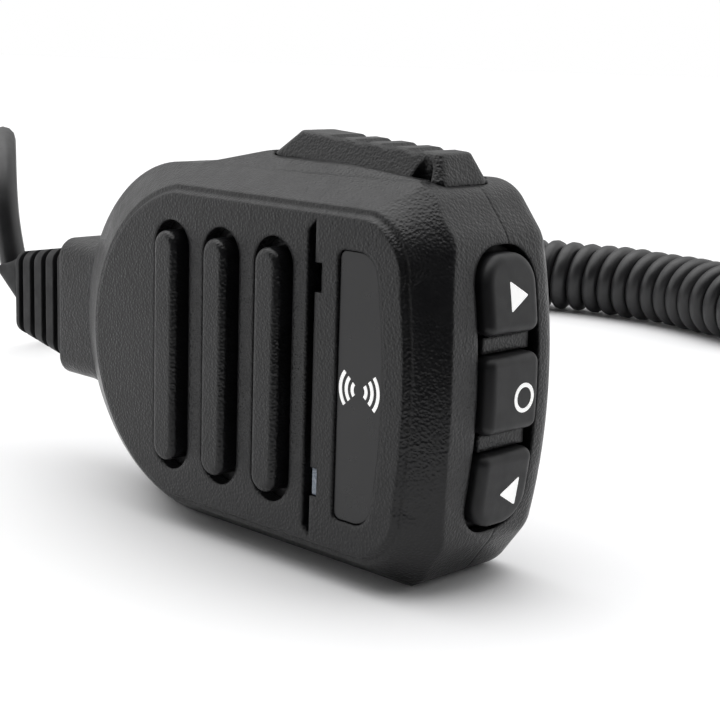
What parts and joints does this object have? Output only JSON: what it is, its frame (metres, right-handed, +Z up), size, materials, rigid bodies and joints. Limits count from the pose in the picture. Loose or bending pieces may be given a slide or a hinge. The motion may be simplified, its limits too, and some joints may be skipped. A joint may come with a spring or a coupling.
{
  "type": "hand microphone",
  "caption": "Hand-held push-to-talk microphone with a grille of upright bars, a talk bar on one side, push keys on the end, a curly cord and a round screw-ring plug.",
  "frame": {"origin": "on the ground, under the middle of the microphone's bounding box, which leaves out the cord and its plug", "axes": "+X from the cord end to the key end, -Y out of the front face, +Z up towards the talk bar"},
  "size_m": [0.2224, 0.2477, 0.0659],
  "materials": {
    "case_abs": "fine texture, satin",
    "grille_abs": "fine texture, satin",
    "felt": "matt",
    "plate": "satin",
    "lens": "frosted",
    "aluminium": "satin",
    "rubber": "matt",
    "steel": "zinc plated",
    "switch_plastic": "moulded",
    "plunger_plastic": "moulded",
    "key_rubber": "smooth matt",
    "board": "solder mask",
    "header": "moulded",
    "stud_plastic": "satin",
    "wire_pvc": "smooth",
    "cord_pvc": "satin",
    "nickel": "nickel plated",
    "insert": "moulded",
    "brass": "bare"
  },
  "bodies": {
    "body": {"front_shell": "case_abs", "rear_shell": "case_abs", "grille_insert": "grille_abs", "dust_felt": "felt", "name_plate": "plate", "status_lens": "lens", "mic_capsule": "aluminium", "capsule_boot": "rubber", "talk_pin": "steel", "talk_spring": "steel", "talk_switch": "switch_plastic", "key_mat": "rubber", "key_board": "board", "main_board": "board", "status_led": "lens", "wire_header": "header", "hanger_stud": "stud_plastic", "stud_screw": "steel", "key_switches": "switch_plastic", "case_screws": "steel", "board_screws": "steel", "cord_boot": "rubber", "core_wires": "wire_pvc", "cord_sleeve": "rubber", "cord_lead": "cord_pvc", "curly_cord": "cord_pvc", "cord_tail": "cord_pvc", "plug_boot": "rubber", "plug_shell": "nickel", "plug_insert": "insert", "plug_contacts": "brass"},
    "talk_bar": {"talk_button": "case_abs"},
    "talk_plunger": {"talk_plunger": "plunger_plastic"},
    "key_up": {"key_up": "key_rubber"},
    "plunger_up": {"plunger_up": "plunger_plastic"},
    "key_centre": {"key_centre": "key_rubber"},
    "plunger_centre": {"plunger_centre": "plunger_plastic"},
    "key_down": {"key_down": "key_rubber"},
    "plunger_down": {"plunger_down": "plunger_plastic"},
    "plug_ring": {"plug_ring": "nickel"}
  },
  "joints": [
    {"name": "talk_press", "type": "hinge", "parent": "body", "child": "talk_bar", "pos_m": [0.0172, -0.0007, 0.0561], "axis": [0, 1, 0], "range_deg": [0, 3.6], "stiffness_Nm_per_rad": 1.6, "springref_deg": -6.88},
    {"name": "talk_plunger_slide", "type": "slide", "parent": "body", "child": "talk_plunger", "axis": [0, 0, -1], "range_m": [0, 0.0015]},
    {"name": "key_up_press", "type": "slide", "parent": "body", "child": "key_up", "axis": [-1, 0, 0], "range_m": [0, 0.0008], "stiffness_N_per_m": 2000, "springref_m": -0.0003},
    {"name": "plunger_up_slide", "type": "slide", "parent": "body", "child": "plunger_up", "axis": [-1, 0, 0], "range_m": [0, 0.0008]},
    {"name": "key_centre_press", "type": "slide", "parent": "body", "child": "key_centre", "axis": [-1, 0, 0], "range_m": [0, 0.0008], "stiffness_N_per_m": 2000, "springref_m": -0.0003},
    {"name": "plunger_centre_slide", "type": "slide", "parent": "body", "child": "plunger_centre", "axis": [-1, 0, 0], "range_m": [0, 0.0008]},
    {"name": "key_down_press", "type": "slide", "parent": "body", "child": "key_down", "axis": [-1, 0, 0], "range_m": [0, 0.0008], "stiffness_N_per_m": 2000, "springref_m": -0.0003},
    {"name": "plunger_down_slide", "type": "slide", "parent": "body", "child": "plunger_down", "axis": [-1, 0, 0], "range_m": [0, 0.0008]},
    {"name": "plug_ring_turn", "type": "hinge", "parent": "body", "child": "plug_ring", "pos_m": [0.048, 0.117, 0.0096], "axis": [0, -1, 0], "continuous": true}
  ],
  "couplings": [
    {"joint": "talk_plunger_slide", "follows": "talk_press", "m_per_rad": 0.0229},
    {"joint": "plunger_up_slide", "follows": "key_up_press", "ratio": 1},
    {"joint": "plunger_centre_slide", "follows": "key_centre_press", "ratio": 1},
    {"joint": "plunger_down_slide", "follows": "key_down_press", "ratio": 1}
  ]
}
